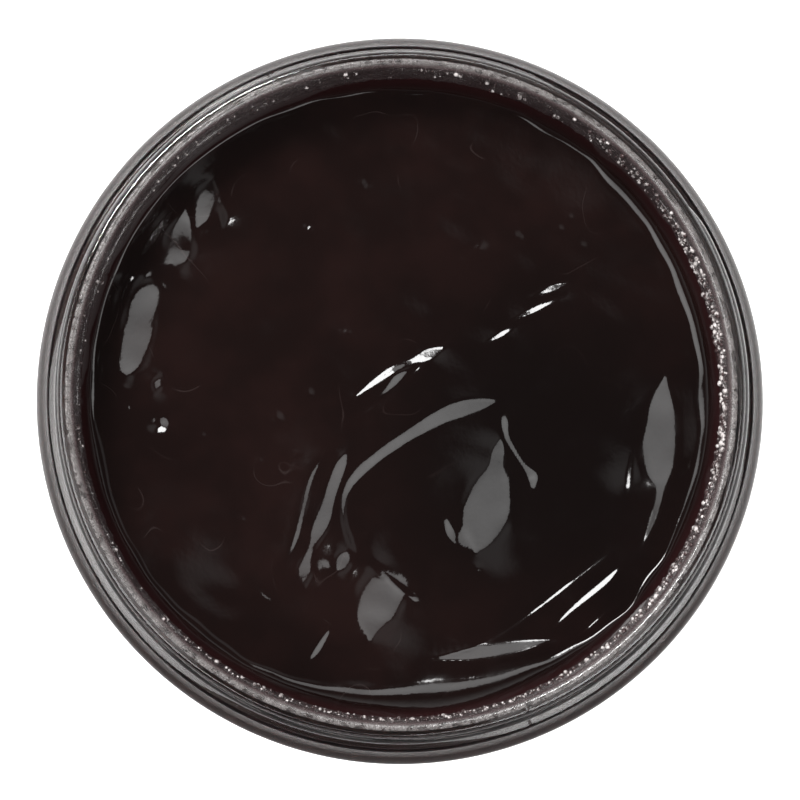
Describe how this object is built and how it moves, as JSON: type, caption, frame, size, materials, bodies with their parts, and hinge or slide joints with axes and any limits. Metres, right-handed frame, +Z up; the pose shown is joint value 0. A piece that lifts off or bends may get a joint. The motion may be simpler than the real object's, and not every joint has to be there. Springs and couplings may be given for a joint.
{
  "type": "shoe polish jar",
  "caption": "Open clear glass jar with a screw neck, filled with glossy dark brown shoe cream that has been scooped from, its lid off.",
  "frame": {"origin": "centre of the foot ring, on the surface that the jar stands on", "axes": "+Z up along the jar's axis, out of its mouth; +X to the right and +Y away from a person who looks down at it"},
  "size_m": [0.065, 0.065, 0.036],
  "materials": {
    "clear_glass": "clear moulded soda glass, polished",
    "cream": "wet glossy dark brown wax cream",
    "cream_film": "thin glossy brown film",
    "cream_beads": "small glossy drops"
  },
  "bodies": {
    "root": {"glass_jar": "clear_glass", "polish_cream": "cream", "wall_smear": "cream_film", "smear_droplets": "cream_beads"}
  },
  "joints": []
}
